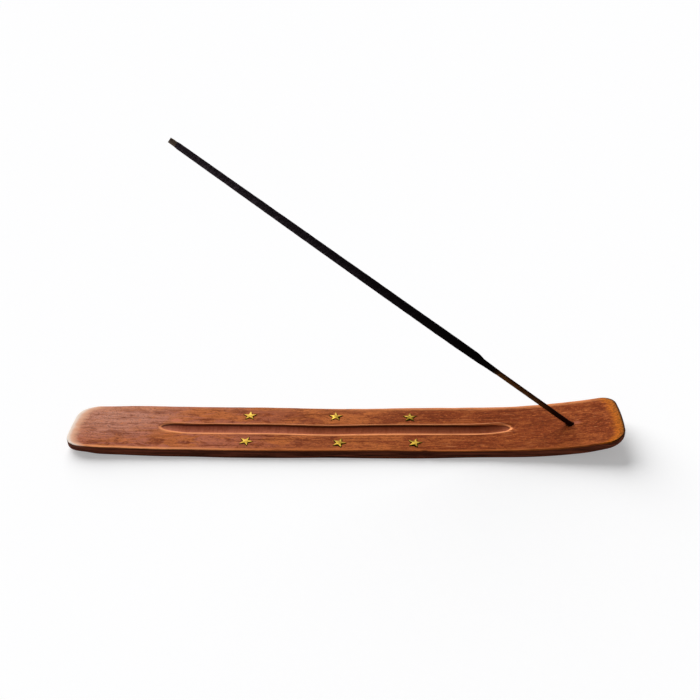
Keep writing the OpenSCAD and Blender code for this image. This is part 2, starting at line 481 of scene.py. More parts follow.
# Oval marks on the top: the middle's x and y, how many times longer than wide,
# and how far from the middle, across, the mark stays whole and where it ends
# A painted sheen: paler wood that stands for light glancing off the low end
PAINTED_SHEEN = (-118 * MM, 9 * MM, 2.2, 6 * MM, 24 * MM)
KNOT = (-78.5 * MM, 5.5 * MM, 2.0, 0.7 * MM, 1.9 * MM)
# The same round the stick hole, measured from it
DENT = (0, 0, 1, 1.5 * MM, 2.5 * MM)
DENT_DEPTH = 0.16 * MM
CHIP = (2.6 * MM, 0.4 * MM, 1.3, 0.2 * MM, 1.6 * MM)
CHIP_DEPTH = 0.10 * MM
PALE_CHIP = (3.2 * MM, 0.5 * MM, 1.6, 0.2 * MM, 1.7 * MM)
# Soot round the hole's mouth, partly painted shade where the hole goes dark
SOOT_AND_SHADE_RING = (0, 0, 1, 1.5 * MM, 2.3 * MM)


def oval(mark, x, y):
    """1 in the middle of an oval mark, and 0 outside it."""
    middle_x, middle_y, stretch, whole, end = mark
    return fade(math.hypot((x - middle_x) / stretch, y - middle_y), whole, end)


def taper_share(x, y):
    """What the far edge's taper leaves of a place's distance from the middle."""
    return 1 - TAPER * fade(x, *TAPER_RUN_OUT) / HALF_WIDTH if y > 0 else 1.0


def outward(y):
    """0 over most of the board's width, rising steeply to 1 at its long edges."""
    return (abs(y) / HALF_WIDTH) ** 4


def edge_cut(x, y, level, seed):
    """How far a place on a long edge is cut back; level is 0 at its foot and 1 at its top."""
    side = 1 if y > 0 else -1
    cut = EDGE_LEAN[side] * level
    for cut_side, middle, half_length, top, foot in EDGE_CUTS:
        if cut_side == side:
            cut += (foot + (top - foot) * level) * MM * math.exp(-((x / MM - middle) / half_length) ** 2)
    cut += 0.09 * MM * (1 + wobble(x / (7 * MM), 3.1 * side, seed)) * level
    return cut * outward(y)


def arris_radius(form, x, y, seed):
    """Radius of the upper arris, which is worn more in some places than in others."""
    worn = 0.5 + 0.5 * wobble(x / (12 * MM), 3 * (y > 0), seed + 8)
    return form.board.arris * (0.55 + 0.9 * worn)


def nick_share(form, x, y, distance):
    """1 in the middle of the nick in the near edge, and 0 away from it."""
    if y > 0:
        return 0.0
    return math.exp(-((x - form.nick_x) / NICK_LENGTH) ** 2 - (distance / NICK_REACH) ** 2)


def groove_centre(x):
    """How far the groove's middle wanders towards the far edge."""
    low_tip = 1.05 * MM * fade(x, -85 * MM, -69 * MM)
    raised_tip = 1.3 * MM * (1 - fade(x, 60 * MM, 84 * MM))
    dip = 0.95 * MM * math.exp(-((x + 6 * MM) / (19 * MM)) ** 2)
    return low_tip + raised_tip - dip - 0.12 * MM


def groove_place(x, y, seed):
    """A place's distance from the middle of the groove, whose rims waver a little."""
    offset = y - groove_centre(x)
    side = 9.1 if offset < 0 else 2.6
    return offset + (0.13 * wobble(x / (15 * MM), side, seed) + 0.04 * wobble(x / (5 * MM), side, seed)) * MM


def chatter(x, y, seed):
    """Faint cross marks that the cutter left along the groove."""
    swing = math.sin(x / (1.15 * MM) + 2.2 * wobble(x / (9 * MM), 0, seed))
    return 0.022 * MM * swing * (0.6 + 0.4 * wobble(x / (6 * MM), y / (2 * MM), seed))


# The board


# How finely the mesh follows the edges: (how far in, the spacing up to there)
EDGE_STEPS = [(0.30 * MM, 0.06 * MM), (0.9 * MM, 0.15 * MM), (1.8 * MM, 0.3 * MM)]
# How far from the corners the mesh's lines still bend with the rounded ends
LOW_PULL = 26 * MM
RAISED_PULL = 22 * MM
# How deep the rasp marks on the sides are
RASP = 0.07 * MM


def spaced(stops):
    """Positions along a line: each stop is (where it ends, the spacing up to it)."""
    places = [stops[0][0]]
    for end, spacing in stops[1:]:
        start = places[-1]
        count = max(1, round((end - start) / spacing))
        places += [start + (end - start) * k / count for k in range(1, count + 1)]
    return places


def columns(form, board):
    """The x places of the board's mesh between its rounded ends."""
    step = board.step
    corner, inset, _ = form.end(True, 1)
    start = LOW_END + inset - corner * math.sqrt(0.5)
    corner, inset, _ = form.end(False, 1)
    end = RAISED_END - inset + corner * math.sqrt(0.5)
    stops = [(start, 0)] + [(start + reach, spacing) for reach, spacing in EDGE_STEPS]
    # Half the spacing round the groove's sloping tips and the stick hole
    tip = form.groove_low_x - form.tip_length(True)
    stops += [(tip - 2 * MM, step), (form.groove_low_x - 4 * MM, step / 2)]
    tip = form.groove_raised_x + form.tip_length(False)
    stops += [(form.groove_raised_x - MM, step), (tip + 2 * MM, step / 2)]
    stops += [(form.hole_x - 4 * MM, step), (form.hole_x + 4 * MM, step / 2)]
    spacing = step
    for reach, finer in reversed(EDGE_STEPS):
        stops.append((end - reach, spacing))
        spacing = finer
    return spaced(stops + [(end, spacing)])


def rows(form):
    """The y places of the board's mesh, fine at the edges and in the groove."""
    stops = [(0, 0)] + EDGE_STEPS
    stops += [(HALF_WIDTH - form.nose - MM, 0.5 * MM), (HALF_WIDTH, 0.19 * MM)]
    half = [place - HALF_WIDTH for place in spaced(stops)]
    return half + [-place for place in reversed(half[:-1])]


def slab(form, board, side_rows):
    """A closed slab: its plan in x and y, and z from 0 below to 1 above."""
    across, up = columns(form, board), rows(form)
    low_corner_x, raised_corner_x = across[0], across[-1]
    bm = bmesh.new()
    bmesh.ops.create_grid(bm, x_segments=len(across) - 1, y_segments=len(up) - 1, size=1)
    for vert in bm.verts:
        x = across[round((vert.co.x + 1) / 2 * (len(across) - 1))]
        share = up[round((vert.co.y + 1) / 2 * (len(up) - 1))] / HALF_WIDTH
        low_pull = fade(x, low_corner_x, low_corner_x + LOW_PULL)
        raised_pull = fade(-x, -raised_corner_x, -raised_corner_x + RAISED_PULL)
        low_shape = form.end_x(share * form.half_at(low_corner_x, share), True) - low_corner_x
        raised_shape = form.end_x(share * form.half_at(raised_corner_x, share), False) - raised_corner_x
        vert.co = (x + low_pull * low_shape + raised_pull * raised_shape, share * form.half_at(x, share), 0)
    thicken(bm, 1)
    bmesh.ops.subdivide_edges(bm, edges=uprights(bm), cuts=side_rows)
    return bm


def thicken(bm, height):
    """Raises a copy of a flat shape and walls it in."""
    grown = bmesh.ops.extrude_face_region(bm, geom=bm.faces[:], use_keep_orig=True)["geom"]
    lifted = [item for item in grown if isinstance(item, bmesh.types.BMVert)]
    bmesh.ops.translate(bm, verts=lifted, vec=(0, 0, height))
    bmesh.ops.recalc_face_normals(bm, faces=bm.faces)


def uprights(bm):
    """The edges that join the two flat sides of a thickened shape."""
    return [edge for edge in bm.edges if abs(edge.verts[0].co.z - edge.verts[1].co.z) > TINY]


def top_height(form, x, y, seed):
    """Height of the finished top: bent, rounded at the arris, grooved, nicked and worn."""
    distance = form.edge_distance(x, y)
    height = form.top(x) - rounding(arris_radius(form, x, y, seed), distance)
    cut = form.groove(x, groove_place(x, y, seed))
    if cut is not None:
        cut += chatter(x, y, seed)
        blend = clamp(0.5 + 0.5 * (height - cut) / form.rim_softness)
        height += (cut - height) * blend - form.rim_softness * blend * (1 - blend)
    height -= NICK_DEPTH * nick_share(form, x, y, distance)
    height -= DENT_DEPTH * oval(DENT, x - form.hole_x, y)
    height -= CHIP_DEPTH * oval(CHIP, x - form.hole_x, y)
    return height


def shape_slab(bm, form, seed):
    """Gives the slab the board's bends, arrises, groove and hand-made unevenness."""
    for vert in bm.verts:
        x, y, level = vert.co
        upper = top_height(form, x, y, seed)
        lower = form.under(x) + rounding(form.lower_radius(x), form.edge_distance(x, y))
        height = lower + (upper - lower) * level
        cut = edge_cut(x, y, level, seed)
        if 0 < level < 1:
            rasped = 0.5 + 0.5 * wobble(x / (4 * MM), height / (0.7 * MM), seed + 2)
            cut += RASP * rasped * outward(y)
        vert.co = (x, (y - math.copysign(cut, y)) * taper_share(x, y), height)


# How each star was turned, in degrees
STAR_TURNS = {"star_far_left": 18, "star_far_middle": 17, "star_far_right": 18,
              "star_near_left": 69, "star_near_middle": 0, "star_near_right": 4}
# The pockets were cut a little too low for their stars
POCKET_SHIFT = (0.08 * MM, -0.18 * MM, 0)
# Where the knife slipped at a pocket's notch: its angle in degrees, and how far
KNIFE_SLIPS = {"star_far_right": (-90, 0.6 * MM), "star_near_right": (-104, 0.6 * MM),
               "star_far_middle": (-18, 0.3 * MM), "star_near_middle": (-108, 0.3 * MM)}
# How tall a pocket's cutting shape is, and how far the drill's reaches past the wood
POCKET_CUT = 2 * MM
DRILL_OVERRUN = 4 * MM


def star_outline(stars, index, seed, tip_gap=0, notch_gap=0, slip=None):
    """A flat star with unevenly cut tips; the gaps make room round it in its pocket.

    A slip is where the knife went too far in: the notch's angle, and how far.
    """
    bm = bmesh.new()
    corners = 10
    bmesh.ops.create_circle(bm, cap_ends=True, segments=corners, radius=1)
    step = 2 * math.pi / corners
    for vert in bm.verts:
        corner = round(math.atan2(vert.co.y, vert.co.x) / step - 0.5) % corners
        turn = step * corner
        if corner % 2 == 0:
            error = stars.cut_error * wobble(index * 7.3 + 2.1 * (corner // 2), seed * 1.7)
            reach = stars.tip_radius + error + tip_gap
            turn += error / stars.tip_radius
        else:
            reach = stars.tip_radius * stars.inner_share + notch_gap
            if slip:
                reach += slip[1] * fade(1 - math.cos(turn - slip[0]), 0.02, 0.2)
        vert.co = (reach * math.cos(turn), reach * math.sin(turn), 0)
    return bm


def star_seat(node):
    """Where a star sits: its middle at the foot of its pocket, and its turn."""
    low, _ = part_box(node)
    points = [v.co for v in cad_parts[node].data.vertices]
    middle = sum(points, Vector()) / len(points)
    turn = Matrix.Rotation(math.radians(STAR_TURNS[node]), 4, "Z")
    return Matrix.Translation((middle.x, middle.y, low.z)) @ turn


def pocket_cutter(index, node, stars, seed):
    """The cutting shape for one star's pocket, with the knife's slip where it has one."""
    slip = None
    if node in KNIFE_SLIPS:
        angle, length = KNIFE_SLIPS[node]
        slip = (math.radians(angle - STAR_TURNS[node]), length)
    bm = star_outline(stars, index, seed, stars.pocket_gap, stars.notch_gap, slip)
    thicken(bm, POCKET_CUT)
    bmesh.ops.transform(bm, matrix=Matrix.Translation(POCKET_SHIFT) @ star_seat(node), verts=bm.verts)
    return bm


def hole_cutter(form, stick):
    """The cutting shape for the stick hole, along the stick's line."""
    bm = bmesh.new()
    run = (form.mouth - form.foot).length + DRILL_OVERRUN
    radius = stick.hole_diameter / 2
    bmesh.ops.create_cone(bm, cap_ends=True, segments=48, radius1=radius, radius2=radius, depth=run)
    turn = form.stick_axis.to_track_quat("Z", "Y").to_matrix().to_4x4()
    place = Matrix.Translation(form.foot + form.stick_axis * run / 2) @ turn
    bmesh.ops.transform(bm, matrix=place, verts=bm.verts)
    return bm


def joined(shapes):
    """The shapes' meshes in one mesh."""
    whole = bmesh.new()
    for shape in shapes:
        mesh = as_mesh("shape", shape)
        whole.from_mesh(mesh)
        bpy.data.meshes.remove(mesh)
    return as_mesh("cutters", whole)


def carve(mesh, cutters):
    """The mesh with the cutters' shapes taken out of it."""
    whole = add_object("whole", mesh)
    knife = add_object("knife", cutters)
    modifier = whole.modifiers.new("carve", "BOOLEAN")
    modifier.operation = "DIFFERENCE"
    modifier.solver = "EXACT"
    modifier.object = knife
    graph = bpy.context.evaluated_depsgraph_get()
    result = bpy.data.meshes.new_from_object(whole.evaluated_get(graph))
    for each in (whole, knife):
        data = each.data
        bpy.data.objects.remove(each)
        bpy.data.meshes.remove(data)
    bm = bmesh.new()
    bm.from_mesh(result)
    tidy_cuts(bm)
    bm.to_mesh(result)
    bm.free()
    return result


def tidy_cuts(bm):
    """Merges points that the cutting left too close, and deletes faces that lie on each other."""
    bmesh.ops.remove_doubles(bm, verts=bm.verts, dist=HAIR)
    bmesh.ops.dissolve_degenerate(bm, edges=bm.edges, dist=HAIR)
    bmesh.ops.triangulate(bm, faces=[face for face in bm.faces if len(face.verts) > 4])
    twins = {}
    for face in bm.faces:
        twins.setdefault(frozenset(face.verts), []).append(face)
    flakes = [face for faces in twins.values() if len(faces) > 1 for face in faces]
    bmesh.ops.delete(bm, geom=flakes, context="FACES")


# Where along x the wear of the board and the painted shade on the groove's far wall change, each as (from,
# to)
DEEPER_NEAR_WEAR = ((-45 * MM, -15 * MM), (68 * MM, 90 * MM))
NEAR_BAND_NARROWS = (-12 * MM, 14 * MM)
NEAR_BAND_FADES = (80 * MM, 100 * MM)
NEAR_BAND_WARMS = (-90 * MM, -25 * MM)
FAR_BAND_STARTS = (-14 * MM, 2 * MM)
FAR_HAZE_ENDS = (25 * MM, 50 * MM)
RIM_BRIGHTENS = (-84 * MM, -78 * MM)
FAR_RIM_BRIGHTENS = (58 * MM, 68 * MM)
FAR_WALL_SHADE_CLEARS = (60 * MM, 72 * MM)
# How much deeper the near edge is worn past each of the two places
NEAR_WEAR_STEP = 0.12 * MM
# All the wood that is less than this above the underside has the sides' stain
ALL_STAINED = 1.2 * MM
# How far the pale and the golden end reach in
END_BAND = 8 * MM
# A place that lies deeper than this is in the groove, in a star's pocket or in the stick hole
IN_GROOVE = 0.05 * MM
IN_POCKET = 0.12 * MM
IN_HOLE = 0.40 * MM
# How far from their middles a pocket and the stick hole reach
POCKET_REACH = 4.7 * MM
HOLE_REACH = 5 * MM


def side_stain(form, x, y, depth, distance, radius):
    """1 where the wood has the sides' dark stain, which is worn off the upper arris."""
    worn = 0.0
    if y < 0:
        worn = sum(NEAR_WEAR_STEP * (1 - fade(x, *place)) for place in DEEPER_NEAR_WEAR)
    stain = 1 - fade(depth, radius * 0.45 + worn, radius * 0.8 + worn) if distance < 2 * MM else 0.0
    stain = max(stain, clamp(1.7 * nick_share(form, x, y, distance)))
    return 1.0 if depth > form.thickness - ALL_STAINED else stain


def edge_wear(x, y, distance):
    """How bare the long edges are: the far one from the middle on, and faintly before it."""
    if y > 0:
        bare = fade(distance, 0.9 * MM, 3.0 * MM) * (1 - fade(x, *FAR_BAND_STARTS, 0.25))
        return max(bare, 0.14 * fade(distance, 1.5 * MM, 6 * MM) * fade(x, *FAR_HAZE_ENDS))
    wide = fade(x, *NEAR_BAND_NARROWS)
    return (fade(distance, (0.45 + 0.25 * wide) * MM, (1.8 + 0.7 * wide) * MM)
            * fade(x, *NEAR_BAND_FADES, 0.45))


def rim_wear_and_wall_shade(x, offset, rim):
    """How bare the groove's rim is, partly as a painted highlight on the near rim's inner slope, and how deep
    the painted shade on the wall below its far side is.
    """
    if offset > 0:
        bare = fade(abs(rim - 0.16 * MM), 0.16 * MM, 0.44 * MM) * (1 - 0.22 * fade(x, *FAR_RIM_BRIGHTENS))
        # Painted shade on the far wall, which faces away from the light from behind
        wall = (fade(-rim, 0.4 * MM, 1.5 * MM) * (1 - fade(-rim, 0.0, 0.15 * MM))
                * fade(x, *FAR_WALL_SHADE_CLEARS, 0.45))
    else:
        # On the near side the band reaches down the inner slope, partly as a painted highlight where it faces
        # the light
        bare = fade(rim, 0.53 * MM, 1.2 * MM) * fade(-rim, 0.15 * MM, 0.6 * MM)
        wall = 0.0
    return bare * (1 - 0.28 * fade(x, *RIM_BRIGHTENS)), wall


def wear_at(place, form, pockets, seed):
    """How worn, stained and dirty one place of the board is, and how much painted sheen, highlight and shade
    it gets, each from 0 to 1.
    """
    x, y, z = place
    depth = form.top(x) - z
    level = clamp(1 - depth / form.thickness)
    # Where the place was before the edges were cut back
    plan_y = y / taper_share(x, y)
    plan_y = clamp(plan_y + math.copysign(edge_cut(x, plan_y, level, seed), plan_y), -HALF_WIDTH, HALF_WIDTH)
    distance = form.edge_distance(x, plan_y)
    offset = groove_place(x, y, seed)
    rim = form.rim_distance(x, offset)
    bare_rim_and_highlight, far_wall = rim_wear_and_wall_shade(x, offset, rim)
    side = side_stain(form, x, y, depth, distance, arris_radius(form, x, plan_y, seed))
    from_star = min((place.xy - pocket).length for pocket in pockets)
    in_pocket = from_star < POCKET_REACH and depth > IN_POCKET
    from_hole = x - form.hole_x
    in_hole = math.hypot(from_hole, y) < HOLE_REACH and depth > IN_HOLE and distance > 3 * MM
    low_reach = x - form.end_x(plan_y, True)
    raised_reach = form.end_x(plan_y, False) - x
    return {
        "arris": edge_wear(x, y, distance) * (1 - side),
        "arris_warm": (1 - fade(x, *NEAR_BAND_WARMS)) if y < 0 else 0.15,
        "end_low": clamp(1 - low_reach / (END_BAND + 0.15 * max(y, 0))) * (1 - side),
        "end_raised": clamp(1 - raised_reach / END_BAND) * (1 - side),
        "painted_sheen": oval(PAINTED_SHEEN, x, y),
        "rim": bare_rim_and_highlight,
        "groove": fade(rim, -0.6 * MM, -0.1 * MM) if depth > IN_GROOVE else 0.0,
        # Painted shade on the groove's far wall
        "far_wall": far_wall if depth > IN_GROOVE else 0.0,
        "side": side,
        # Painted shade along the top of the sides, under the arris
        "side_top_shade": fade(depth, 0.7 * MM, 1.3 * MM),
        "knot": oval(KNOT, x, y),
        # Painted shade: the pockets and the stick hole are coloured near black
        "hollow": 1.0 if in_pocket or in_hole else 0.0,
        "soot_and_shade": oval(SOOT_AND_SHADE_RING, from_hole, 0.9 * y),
        "chip": oval(PALE_CHIP, from_hole, y),
    }


def wear_maps(mesh, form, seed):
    """Writes the wear, stain and dirt of the board, and its painted sheen, highlights and shade, as
    attributes for its material.
    """
    maps = {}
    pockets = [star_seat(node).translation.xy for node in STAR_TURNS]
    for vert in mesh.vertices:
        for name, value in wear_at(vert.co, form, pockets, seed).items():
            maps.setdefault(name, []).append(value)
    for name, values in maps.items():
        mesh.attributes.new(name, "FLOAT", "POINT").data.foreach_set("value", values)


# Materials


class Nodes:
    """Builds the node tree of a material or a world in short steps."""

    def __init__(self, owner):
        owner.use_nodes = True
        self.tree = owner.node_tree
        self.tree.nodes.clear()

    def add(self, kind, **settings):
        node = self.tree.nodes.new(kind)
        for key, value in settings.items():
            setattr(node, key, value)
        return node

    def link(self, source, target):
        self.tree.links.new(source, target)

    def feed(self, target, value):
        """Links a socket to the target, or sets the target to a plain value."""
        if isinstance(value, bpy.types.NodeSocket):
            self.link(value, target)
        else:
            target.default_value = value

    def math(self, operation, first, second):
        node = self.add("ShaderNodeMath", operation=operation)
        self.feed(node.inputs[0], first)
        self.feed(node.inputs[1], second)
        return node.outputs["Value"]

    def times(self, first, second):
        return self.math("MULTIPLY", first, second)

    def plus(self, first, second):
        return self.math("ADD", first, second)

    def seen_directly(self):
        """1 for rays from the camera, and for those that gloss and glass send on."""
        path = self.add("ShaderNodeLightPath").outputs
        glossy = self.math("MAXIMUM", path["Is Camera Ray"], path["Is Glossy Ray"])
        return self.math("MAXIMUM", glossy, path["Is Transmission Ray"])


class Finish(Nodes):
    """Builds the material of a piece."""

    def __init__(self, name):
        self.material = bpy.data.materials.new(name)
        super().__init__(self.material)
        self.shader = self.add("ShaderNodeBsdfPrincipled")
        output = self.add("ShaderNodeOutputMaterial")
        self.link(self.shader.outputs["BSDF"], output.inputs["Surface"])

    def coordinates(self):
        """Object coordinates, in metres."""
        return self.add("ShaderNodeTexCoord").outputs["Object"]

    def map(self, vector, scale=(1, 1, 1), turn=(0, 0, 0)):
        """Coordinates, scaled and then turned."""
        node = self.add("ShaderNodeMapping")
        node.inputs["Scale"].default_value = scale
        node.inputs["Rotation"].default_value = turn
        self.link(vector, node.inputs["Vector"])
        return node.outputs["Vector"]

    def place(self, scale, turn=(0, 0, 0)):
        """Object coordinates, scaled for a noise: one unit is about one swing."""
        return self.map(self.coordinates(), scale, turn)

    def along_x(self):
        """The x coordinate as a share, 0 at the low end and 1 at the raised end."""
        parts = self.add("ShaderNodeSeparateXYZ")
        self.link(self.coordinates(), parts.inputs["Vector"])
        return self.stretch(parts.outputs["X"], LOW_END, RAISED_END)

    def along_stick(self, stick, scale):
        """Coordinates that run along the stick, so that its fibres do too."""
        return self.map(self.map(self.coordinates(), turn=(0, stick.angle, 0)), scale)

    def noise(self, vector, detail, roughness=0.5, distortion=0.0):
        """Noise at the scale that the coordinates carry."""
        node = self.add("ShaderNodeTexNoise")
        self.link(vector, node.inputs["Vector"])
        node.inputs["Scale"].default_value = 1
        node.inputs["Detail"].default_value = detail
        node.inputs["Roughness"].default_value = roughness
        node.inputs["Distortion"].default_value = distortion
        return node.outputs["Fac"]

    def attribute(self, name):
        """A map that the piece's mesh carries."""
        return self.add("ShaderNodeAttribute", attribute_name=name).outputs["Fac"]

    def stretch(self, value, low, high, to_low=0.0, to_high=1.0):
        """A smooth step from to_low at low to to_high at high."""
        node = self.add("ShaderNodeMapRange", interpolation_type="SMOOTHSTEP")
        self.link(value, node.inputs["Value"])
        node.inputs["From Min"].default_value = low
        node.inputs["From Max"].default_value = high
        node.inputs["To Min"].default_value = to_low
        node.inputs["To Max"].default_value = to_high
        return node.outputs["Result"]

    def waver(self, value, texture, amount):
        """Moves a value up and down by a texture."""
        return self.plus(value, self.times(self.math("SUBTRACT", texture, 0.5), amount))

    def mix(self, share, first, second):
        """The first colour where the share is 0, and the second where it is 1."""
        node = self.add("ShaderNodeMix", data_type="RGBA", blend_type="MIX")
        self.feed(node.inputs["Factor"], share)
        for socket, value in ((node.inputs[6], first), (node.inputs[7], second)):
            self.feed(socket, value if isinstance(value, bpy.types.NodeSocket) else (*value, 1))
        return node.outputs[2]

    def bump(self, height, distance):
        """The surface's direction with a relief of that depth."""
        node = self.add("ShaderNodeBump")
        node.inputs["Distance"].default_value = distance
        node.inputs["Strength"].default_value = 0.8
        self.link(height, node.inputs["Height"])
        return node.outputs["Normal"]

    def finish(self, colour, roughness, relief, depth):
        """Feeds the shader its colour, roughness and relief, and gives the material."""
        self.link(colour, self.shader.inputs["Base Color"])
        self.feed(self.shader.inputs["Roughness"], roughness)
        self.link(self.bump(relief, depth), self.shader.inputs["Normal"])
        return self.material


def shade(colour, factor):
    """The colour, darker or lighter."""
    return tuple(channel * factor for channel in colour)


def mean_colour(first, second):
    """The colour halfway between two."""
    return tuple((one + other) / 2 for one, other in zip(first, second))


def stained_wood(board):
    """The board's wood, built up from its stain to its wear and its dark sides, with painted sheen,
    highlights and shade.
    """
    n = Finish("stained_wood")
    x_share = n.along_x()
    streaks = n.noise(n.place((48, 1250, 900)), 5, 0.65, 0.9)
    dashes = n.noise(n.place((560, 1450, 1100)), 3, 0.65, 1.2)
    specks = n.noise(n.place((950, 1900, 1600)), 2, 0.6)
    worn = n.noise(n.place((110, 400, 400)), 3, 0.6)
    fine = n.noise(n.place((260, 3600, 2600)), 3, 0.6)
    pores = n.stretch(specks, 0.57, 0.70, 0.0, 0.60)
    colour = stain(n, board, x_share)
    colour = grain(n, board, colour, x_share, streaks, dashes, pores)
    colour = groove_dirt_and_wall_shade(n, board, colour, x_share)
    colour = bare_edges(n, board, colour, worn)
    colour = golden_end(n, board, colour, dashes, specks, worn)
    colour = pale_end(n, board, colour, worn)
    colour = hole_marks(n, board, colour, worn)
    colour = dark_sides(n, board, colour)
    n.shader.inputs["Specular IOR Level"].default_value = 0.03
    relief = n.plus(n.times(streaks, 0.5), n.times(fine, 0.5))
    relief = n.math("SUBTRACT", relief, n.times(pores, 0.6))
    return n.finish(colour, n.stretch(streaks, 0.3, 0.75, 0.55, 0.75), relief, 0.16 * MM)


def stain(n, board, x_share):
    """The stain: mauve and paler at the low end, partly faded stain and partly painted sheen, orange in the
    middle, deep at the raised end, with a painted sheen patch behind the low end.
    """
    patches = n.noise(n.place((60, 170, 170)), 3, 0.55, 0.6)
    clouds = n.noise(n.place((105, 260, 260), (0.3, 0, 0)), 3, 0.6, 0.8)
    # Towards the low end the colour is partly faded stain, partly painted sheen
    colour = n.mix(n.stretch(x_share, 0.46, 0.08), board.wood, board.wood_dusty_and_sheen)
    colour = n.mix(n.stretch(x_share, 0.50, 0.74, 0.0, 0.9), colour, shade(board.wood_deep, 1.15))
    thin = n.times(n.stretch(patches, 0.46, 0.60, 0.0, 0.95), n.stretch(x_share, 0.55, 0.80, 1.0, 0.35))
    colour = n.mix(thin, colour, board.wood_thin)
    colour = n.mix(n.stretch(clouds, 0.50, 0.36, 0.0, 0.84), colour, board.wood_deep)
    # Painted sheen: paler wood behind the low end that stands for light glancing off it
    painted_sheen = n.times(n.attribute("painted_sheen"), n.stretch(clouds, 0.25, 0.60, 0.35, 0.85))
    return n.mix(painted_sheen, colour, board.wood_painted_sheen)


def grain(n, board, colour, x_share, streaks, dashes, pores):
    """Long lines, short dashes, pores, a few pale scratches and one knot."""
    lines = n.times(n.stretch(streaks, 0.48, 0.66), n.stretch(x_share, 0.15, 0.50, 0.62, 0.85))
    colour = n.mix(lines, colour, shade(board.wood_deep, 0.60))
    colour = n.mix(n.stretch(streaks, 0.46, 0.30, 0.0, 0.62), colour, board.wood_thin)
    colour = n.mix(n.stretch(dashes, 0.54, 0.68, 0.0, 0.58), colour, shade(board.wood_thin, 1.25))
    dark = n.times(n.stretch(dashes, 0.47, 0.33), n.stretch(x_share, 0.05, 0.75, 0.48, 0.70))
    colour = n.mix(dark, colour, shade(board.wood_deep, 0.45))
    colour = n.mix(pores, colour, shade(board.wood_deep, 0.35))
    scratches = n.noise(n.place((85, 1500, 1500), (0, 0, 0.02)), 1, 0.4)
    pale = n.times(n.stretch(scratches, 0.68, 0.76), n.stretch(x_share, 0.70, 0.80, 0.0, 0.35))
    colour = n.mix(pale, colour, board.wood_bare)
    return n.mix(n.times(n.attribute("knot"), 0.65), colour, shade(board.wood_dusty_and_sheen, 1.45))


def groove_dirt_and_wall_shade(n, board, colour, x_share):
    """Dirt in the groove, with the cutter's ripples, and painted shade on the wall below its far rim."""
    dirt = mean_colour(board.wood, board.wood_dusty_and_sheen)
    ripples = n.noise(n.place((900, 300, 300)), 3, 0.6)
    dirty = n.mix(n.stretch(x_share, 0.30, 0.46), shade(board.wood_dusty_and_sheen, 1.02), shade(dirt, 0.98))
    dirty = n.mix(n.stretch(x_share, 0.50, 0.78), dirty, shade(dirt, 0.72))
    dirty = n.mix(n.stretch(ripples, 0.42, 0.66, 0.0, 0.30), dirty, shade(board.wood_deep, 0.7))
    colour = n.mix(n.times(n.attribute("groove"), 0.85), colour, dirty)
    # Painted shade: the wall below the far rim darkened almost to black
    return n.mix(n.times(n.attribute("far_wall"), 0.86), colour, shade(board.wood_deep, 0.14))


def bare_edges(n, board, colour, worn):
    """Wood rubbed bare along the long edges and the groove's rims; on the near rim's inner slope the bare
    colour is partly a painted highlight.
    """
    arris = n.times(n.attribute("arris"), n.stretch(worn, 0.30, 0.52, 0.50, 1.0))
    bare = n.mix(n.attribute("arris_warm"), board.wood_bare, shade(board.wood_thin, 0.98))
    colour = n.mix(arris, colour, bare)
    # Worn rims, partly painted highlight on the near rim's inner slope
    rim = n.times(n.attribute("rim"), n.stretch(worn, 0.25, 0.50, 0.65, 1.0))
    return n.mix(rim, colour, board.wood_bare)


def golden_end(n, board, colour, dashes, specks, worn):
    """The golden brown raised end: orange inside, dull and speckled at its edge, with a thin line of painted
    shade along the very edge.
    """
    reach = n.attribute("end_raised")
    end = n.waver(reach, n.plus(n.times(dashes, 0.5), n.times(worn, 0.5)), 0.9)
    gold = n.mix(n.stretch(dashes, 0.36, 0.62),
                 shade(board.wood_golden, 0.72), shade(board.wood_golden, 1.25))
    colour = n.mix(n.stretch(end, 0.22, 0.68, 0.0, 0.92), colour, gold)
    colour = n.mix(n.stretch(end, 0.74, 1.0, 0.0, 0.70), colour, board.wood_olive)
    speckled = n.times(n.stretch(reach, 0.50, 0.85), n.stretch(specks, 0.46, 0.60))
    colour = n.mix(n.times(speckled, 0.75), colour, shade(board.wood_olive, 0.35))
    # Painted shade: a thin dark line along the raised end's edge, standing for its side in shadow
    return n.mix(n.stretch(reach, 0.82, 0.97), colour, shade(board.wood_deep, 0.12))


def pale_end(n, board, colour, worn):
    """The low end, sanded beige, and whitish at its very edge, partly sanded wood and partly a painted
    highlight.
    """
    reach = n.attribute("end_low")
    end = n.waver(reach, worn, 0.55)
    colour = n.mix(n.stretch(end, 0.22, 0.70, 0.0, 0.90), colour, board.wood_beige)
    whitish = mean_colour(board.wood_beige, board.wood_pale)
    colour = n.mix(n.stretch(end, 0.60, 0.95, 0.0, 0.90), colour, whitish)
    # Whitish edge: partly sanded wood, partly painted highlight
    return n.mix(n.stretch(reach, 0.72, 0.97), colour, board.wood_pale)


def hole_marks(n, board, colour, worn):
    """The pale chip beside the stick hole, and the soot round it, partly painted shade at the hole's mouth.
    """
    colour = n.mix(n.times(n.attribute("chip"), 0.55), colour, shade(board.wood_dusty_and_sheen, 1.15))
    soot_and_shade = n.times(n.attribute("soot_and_shade"), n.stretch(worn, 0.30, 0.60, 0.50, 0.85))
    return n.mix(soot_and_shade, colour, shade(board.wood_deep, 0.10))


